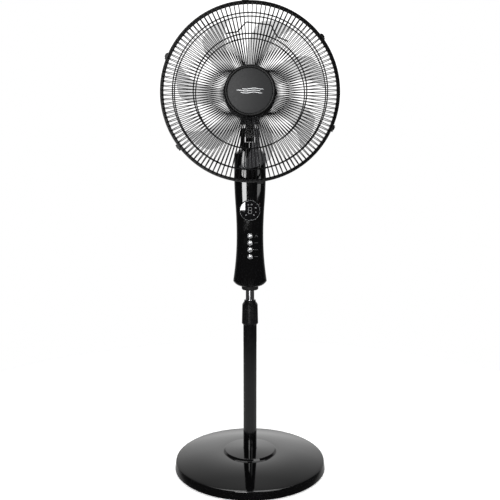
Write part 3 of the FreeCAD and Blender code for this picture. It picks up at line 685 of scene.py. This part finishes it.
def display():
    """Black wall, bright trim and lens of the display, from outlines of (radius, distance forward)."""
    front = DISPLAY_FRONT / MM
    r = LENS_R / MM
    trim = r + TRIM_WIDTH / MM

    wall_r = DISPLAY_R / MM + 1
    wall_hole = trim + 0.05
    wall_back = 26
    wall = rounded([(wall_hole, wall_back), (wall_r, wall_back), (wall_r, front - 0.9, 0.6),
                    (wall_hole, front + 0.1)])
    place(facing(lathe("display_wall", wall), DISPLAY_Z), "column", "gloss_black", MATERIALS["gloss_black"])

    lens_r = r - 0.05
    lens_back = front - 2.5
    flat_r = r - 0.6
    lens = rounded([(0, lens_back), (lens_r, lens_back), (lens_r, front, 0.2), (flat_r, front), (0, front)],
                   3)
    place(facing(lathe("display_glass_disc", lens), DISPLAY_Z), "column", "display_glass",
          MATERIALS["display_glass"], "display_lens")

    trim_back = 28
    trim_front = front + 0.35
    ring = rounded([(r, trim_back), (trim, trim_back), (trim, trim_front, 0.25), (r, trim_front, 0.25)])
    place(facing(lathe("display_trim_ring", ring), DISPLAY_Z), "column", "display_trim",
          MATERIALS["display_trim"], "display_ring")


def on_lens(x, y):
    """A point on the face of the lens, from its centre."""
    return (x, -DISPLAY_FRONT - INK, DISPLAY_Z + y)


def circle(radius, count=20):
    """Points on a circle about the origin."""
    angles = [2 * math.pi * i / count for i in range(count)]
    return [(radius * math.cos(a), radius * math.sin(a)) for a in angles]


def bow(radius, first, last, x=0.0, y=0.0, count=10):
    """Points on an arc between two angles, in degrees."""
    angles = [math.radians(first + (last - first) * i / count) for i in range(count + 1)]
    return [(x + radius * math.cos(a), y + radius * math.sin(a)) for a in angles]


# Each symbol is a list of (line, closed), about one unit from its centre to its edge.

def symbol_drop():
    return [([(0, 1.1), (0.55, 0.2)] + bow(0.62, 15, -195, 0, -0.35) + [(-0.55, 0.2)], True)]


def symbol_moon():
    return [(bow(0.95, 75, 345) + bow(0.75, -20, -250, 0.42, 0.3)[1:-1], True)]


def symbol_leaf():
    outline = bow(1.3, 100, 10, -0.95, -0.75) + bow(1.3, 280, 190, 0.55, 0.75)[1:]
    return [(outline, True), ([(-1, -1), (0.3, 0.3)], False)]


def symbol_clock():
    return [(circle(0.95), True), ([(0, 0.6), (0, 0), (0.4, -0.2)], False)]


def symbol_lock():
    return [([(-0.75, -0.9), (0.75, -0.9), (0.75, 0.15), (-0.75, 0.15)], True),
            ([(-0.45, 0.15)] + bow(0.45, 180, 0, 0, 0.5) + [(0.45, 0.15)], False)]


def symbol_waves():
    lines = []
    for y in (-0.5, 0.0, 0.5):
        lines.append(([(x / 5, y + 0.16 * math.sin(x * 1.26)) for x in range(-5, 6)], False))
    return lines


def symbol_bolt():
    return [([(0.25, 1), (-0.55, -0.1), (0.1, -0.1), (-0.2, -1), (0.6, 0.2), (-0.05, 0.2)], True)]


def symbol_ring():
    return [(circle(0.9), True), (circle(0.35, 12), True)]


def display_marks():
    """The figure in the middle and the eight symbols round it, each at its angle in degrees."""
    symbols = ((106, symbol_drop), (73, symbol_clock), (24, symbol_waves), (-14, symbol_leaf),
               (-48, symbol_moon), (-131, symbol_ring), (-171, symbol_bolt), (148, symbol_lock))
    circle_r = 15.8 * MM
    size = 1.85 * MM
    pen = 0.5 * MM
    strokes = []
    for angle, draw in symbols:
        x = circle_r * math.cos(math.radians(angle))
        y = circle_r * math.sin(math.radians(angle))
        for line, closed in draw():
            strokes.append(([(x + size * px, y + size * py) for px, py in line], pen, closed))
    half = 4.3 * MM
    reach = 3.9 * MM
    gap = 0.5 * MM
    bar = 0.75 * MM
    for y in (-2 * reach, 0.0, 2 * reach):
        strokes.append(([(-half + gap, y), (half - gap, y)], bar, False))
    for x in (-half, half):
        for y in (-reach, reach):
            strokes.append(([(x, y - reach + gap), (x, y + reach - gap)], bar, False))
    place(inked("display_marks", strokes, on_lens), "column", "display_trim", LAMP_GREY)


def on_column(x, z):
    """A point on the front of the column."""
    width, depth = section_at(z)
    power = COLUMN_SQUARENESS
    forward = depth * (1 - (abs(x) / width) ** power) ** (1 / power)
    return (x, -forward - INK / 2, z)


def button_marks():
    """A small solid triangle beside the top button and a short dash beside each of the others."""
    half_height = 3 * MM
    rows = 6
    pen = 2 * half_height / rows
    dash_pen = 0.8 * MM
    strokes = []
    for number, z in enumerate(BUTTON_Z.values()):
        if number == 0:
            for row in range(rows):
                half = MARK_REACH * (row + 0.5) / rows
                level = z + half_height - (row + 0.5) * pen
                strokes.append(([(MARK_X - half, level), (MARK_X + half, level)], pen, False))
        else:
            dash = [(MARK_X + MARK_REACH * i / 3, z) for i in range(-3, 4)]
            strokes.append((dash, dash_pen, False))
    place(inked("button_marks", strokes, on_column), "column", "gloss_black", GREY_INK)


def push_button(name):
    """A plated button with a rolled edge and a domed face."""
    r = BUTTON_R / MM
    front = BUTTON_FRONT / MM
    rim = front - DOME / MM
    ball = (r ** 2 + (DOME / MM) ** 2) / (2 * DOME / MM)
    steps = 14
    face = []
    for i in range(steps + 1):
        out = (r - 0.5) * (1 - i / steps)
        face.append((out, front - ball + math.sqrt(ball ** 2 - out ** 2)))
    flange_r = r + 1.2
    flange_back = rim - 4
    flange_front = rim - 3.4
    skirt = [(0, flange_back), (flange_r, flange_back), (flange_r, flange_front), (r, flange_front)]
    outline = rounded(skirt + [(r, rim + 0.2, 0.45)] + face, 4)
    outline = [Vector((max(p[0], 0.0), p[1])) for p in outline]
    piece = facing(lathe(name + "_cap", outline, 96), BUTTON_Z[name])
    place(piece, name, "chrome", MATERIALS["button_plating"], name)


def button_sign(name, strokes):
    """A dark printed sign on a button's face, from lines in millimetres about its centre."""
    ball = (BUTTON_R ** 2 + DOME ** 2) / (2 * DOME)

    def on_button(x, y):
        drop = ball - math.sqrt(ball ** 2 - x ** 2 - y ** 2)
        return (x, -BUTTON_FRONT + drop - INK / 2, BUTTON_Z[name] + y)

    pen = 1.3 * MM
    lines = [([(x * MM, y * MM) for x, y in in_steps(line)], pen, closed) for line, closed in strokes]
    place(inked(name + "_sign", lines, on_button), name, "satin_black", MATERIALS["satin_black"])


def button_signs():
    """Plain signs: a bar over a dash, a cross, two bars and a clock hand."""
    button_sign("button_power", [([(1.0, 0.2), (1.0, 3.0)], False), ([(0.0, -1.6), (2.0, -1.6)], False)])
    button_sign("button_speed", [([(-1.2, 0), (3.2, 0)], False), ([(1.0, -2.2), (1.0, 2.2)], False)])
    button_sign("button_swing", [([(-0.2, -2.2), (-0.2, 2.2)], False), ([(2.2, -2.2), (2.2, 2.2)], False)])
    button_sign("button_timer", [([(0.4, 2.8), (0.4, -0.4), (3.0, -0.4)], False)])


# ---------------------------------------------------------------- hub of the cage

def hub_ring():
    """Rounded ring round the medallion."""
    r = HUB_R / MM
    inner = MEDALLION_R / MM + 0.15
    low = HUB_BACK / MM
    high = HUB_FRONT / MM
    outer = [(inner, low), (r, low), (r, high, 4.2)]
    outline = rounded(outer + [(inner + 0.4, high - 0.7, 0.8), (inner, high - 4)], 8)
    ring = facing(lathe("hub_ring", outline, 192), HEAD_Z)
    place(ring, "head", "gloss_black", MATERIALS["hub_black"], "hub_bezel")


def dome_height(r):
    """Forward place of the medallion's face at a radius."""
    ball = (MEDALLION_R ** 2 + MEDALLION_RISE ** 2) / (2 * MEDALLION_RISE)
    return MEDALLION_FRONT - ball + math.sqrt(ball ** 2 - r ** 2)


def hub_medallion():
    """Slightly domed satin disc with a softened edge."""
    r = MEDALLION_R / MM
    low = HUB_BACK / MM
    steps = 24
    face = []
    for i in range(steps + 1):
        out = (r - 0.6) * (1 - i / steps)
        face.append((out, dome_height(out * MM) / MM))
    outline = rounded([(0, low), (r, low), (r, dome_height(MEDALLION_R) / MM - 0.1, 0.5)] + face, 4)
    outline = [Vector((max(p[0], 0.0), p[1])) for p in outline]
    disc = facing(lathe("hub_disc", outline, 192), HEAD_Z)
    place(disc, "head", "medallion", MATERIALS["medallion"], "medallion")


def on_medallion(x, y):
    """A point on the medallion's face, from its centre."""
    return (x, -dome_height(math.hypot(x, y)) - INK / 2, HEAD_Z + y)


def wind_lines():
    """Three plain wind lines across the medallion: height, start and end of each in millimetres."""
    swell = 1.1
    pitch = 6.0
    pen = 1.3 * MM
    steps = 40
    strokes = []
    for y, start, end in ((4.6, -18, 31), (0.0, -31, 24), (-4.6, -22, 28)):
        line = []
        for i in range(steps + 1):
            x = start + (end - start) * i / steps
            line.append((x * MM, (y + swell * math.sin(x / pitch)) * MM))
        strokes.append((line, pen, False))
    place(inked("wind_lines", strokes, on_medallion), "head", "medallion", WHITE_INK)


# ---------------------------------------------------------------- stage

def stage_floor():
    """A round pale floor that reaches far past the base on every side."""
    count = 96
    radius = 1.25
    points = [(0, 0, 0)]
    points += [(x, y, 0) for x, y in circle(radius, count)]
    faces = [(0, i + 1, (i + 1) % count + 1) for i in range(count)]
    floor = mesh_object("floor", points, faces)
    m = shader("pale_floor", (0.9, 0.9, 0.9), 0.6, Emission_Color=(1, 1, 1, 1), Emission_Strength=0.4)
    tint(m, noise(m, 3), (0.88, 0.88, 0.88), (0.92, 0.92, 0.92))
    floor.data.materials.append(m)
    floor.visible_glossy = False


def area_light(name, place_at, aim, width, height, radiance):
    """A rectangular softbox of an even radiance, aimed at a point."""
    data = bpy.data.lights.new(name, "AREA")
    data.shape = "RECTANGLE"
    data.size = width
    data.size_y = height
    data.energy = radiance * math.pi * width * height
    light = bpy.data.objects.new(name, data)
    light.location = place_at
    light.rotation_mode = "QUATERNION"
    light.rotation_quaternion = (Vector(aim) - Vector(place_at)).to_track_quat("-Z", "Y")
    light.visible_camera = False
    bpy.context.scene.collection.objects.link(light)


def stops(tree, source, levels):
    """A curve from the z of a direction to a brightness, by its stops."""
    lowest = -0.5
    highest = 0.8
    span = tree.nodes.new("ShaderNodeMapRange")
    span.inputs["From Min"].default_value = lowest
    span.inputs["From Max"].default_value = highest
    colours = tree.nodes.new("ShaderNodeValToRGB")
    tree.links.new(source, span.inputs["Value"])
    tree.links.new(span.outputs["Result"], colours.inputs["Fac"])
    brightest = max(level for _, level in levels)
    elements = colours.color_ramp.elements
    while len(elements) < len(levels):
        elements.new(0.5)
    for element, (height, level) in zip(elements, levels):
        element.position = (height - lowest) / (highest - lowest)
        grey = level / brightest
        element.color = (grey, grey, grey, 1)
    gain = tree.nodes.new("ShaderNodeMath")
    gain.operation = "MULTIPLY"
    gain.inputs[1].default_value = brightest
    tree.links.new(colours.outputs["Color"], gain.inputs[0])
    return gain.outputs["Value"]


def world_light():
    """A pale room: bright behind the fan, dark behind the camera, and a pale floor below.  The
    background itself is plain white from every side."""
    world = bpy.data.worlds.new("studio")
    bpy.context.scene.world = world
    world.use_nodes = True
    tree = world.node_tree
    where = tree.nodes.new("ShaderNodeTexCoord")
    split = tree.nodes.new("ShaderNodeSeparateXYZ")
    tree.links.new(where.outputs["Generated"], split.inputs["Vector"])
    height = split.outputs["Z"]
    ground = ((-0.5, 0.2), (-0.42, 0.7), (-0.31, 0.47), (-0.26, 0.07), (-0.2, 0.04))
    front = stops(tree, height, ground + ((0.5, 0.05),))
    rear = stops(tree, height, ground + ((-0.08, 0.3), (0.1, 0.8), (0.35, 0.8), (0.7, 0.3)))
    behind = tree.nodes.new("ShaderNodeMapRange")
    behind.interpolation_type = "SMOOTHSTEP"
    behind.inputs["From Min"].default_value = 0.3
    behind.inputs["From Max"].default_value = 0.7
    tree.links.new(split.outputs["Y"], behind.inputs["Value"])
    aside = tree.nodes.new("ShaderNodeMath")
    aside.operation = "ABSOLUTE"
    tree.links.new(split.outputs["X"], aside.inputs[0])
    centre = tree.nodes.new("ShaderNodeMapRange")
    centre.interpolation_type = "SMOOTHSTEP"
    centre.inputs["From Max"].default_value = 0.42
    centre.inputs["To Min"].default_value = 1.75
    centre.inputs["To Max"].default_value = 0.8
    tree.links.new(aside.outputs["Value"], centre.inputs["Value"])
    wall = tree.nodes.new("ShaderNodeMath")
    wall.operation = "MULTIPLY"
    tree.links.new(centre.outputs["Result"], wall.inputs[0])
    tree.links.new(rear, wall.inputs[1])
    room = tree.nodes.new("ShaderNodeMix")
    tree.links.new(behind.outputs["Result"], room.inputs["Factor"])
    tree.links.new(front, room.inputs["A"])
    tree.links.new(wall.outputs["Value"], room.inputs["B"])
    path = tree.nodes.new("ShaderNodeLightPath")
    seen = tree.nodes.new("ShaderNodeMath")
    seen.operation = "MAXIMUM"
    tree.links.new(room.outputs["Result"], seen.inputs[0])
    tree.links.new(path.outputs["Is Camera Ray"], seen.inputs[1])
    background = tree.nodes["Background"]
    background.inputs["Color"].default_value = (1, 1, 1, 1)
    tree.links.new(seen.outputs["Value"], background.inputs["Strength"])


def studio_lights():
    """Two tall softboxes, two small panels low on the left and a wide one overhead."""
    area_light("softbox_left", (-0.505, -2.15, 1.205), (-0.505, 0, 1.205), 0.69, 1.35, 17.0)
    area_light("lens_glint", (-0.1, -2.15, 0.563), (-0.1, 0, 0.563), 0.145, 0.074, 17.0)
    area_light("softbox_right", (1.05, -1.65, 1.25), (0, 0, 0.95), 1.0, 1.26, 3.2)
    area_light("low_left", (-0.35, -2.1, 0.048), (-0.35, 0, 0.048), 1.1, 0.08, 1.5)
    area_light("overhead", (0, 0.3, 3.0), (0, 0, 0), 2.6, 2.6, 3.2)


def camera():
    """The main view: 1.8 m in front, a little above the display, looking slightly down."""
    data = bpy.data.cameras.new("camera")
    data.sensor_width = 36.0
    data.lens = 49.9
    data.shift_y = -0.065
    data.clip_start = 0.05
    data.clip_end = 100.0
    cam = bpy.data.objects.new("camera", data)
    cam.location = (0.0, -1.8, 0.831)
    cam.rotation_euler = (math.radians(90 - 5.1), 0, 0)
    bpy.context.scene.collection.objects.link(cam)
    bpy.context.scene.camera = cam
    bpy.context.scene.view_settings.view_transform = "Standard"


# ---------------------------------------------------------------- everything

dress_cad_nodes()
base_cover()
pole_seal()
column_front()
display()
display_marks()
button_marks()
for button in BUTTONS:
    push_button(button)
button_signs()
hub_ring()
hub_medallion()
wind_lines()
stage_floor()
world_light()
studio_lights()
camera()
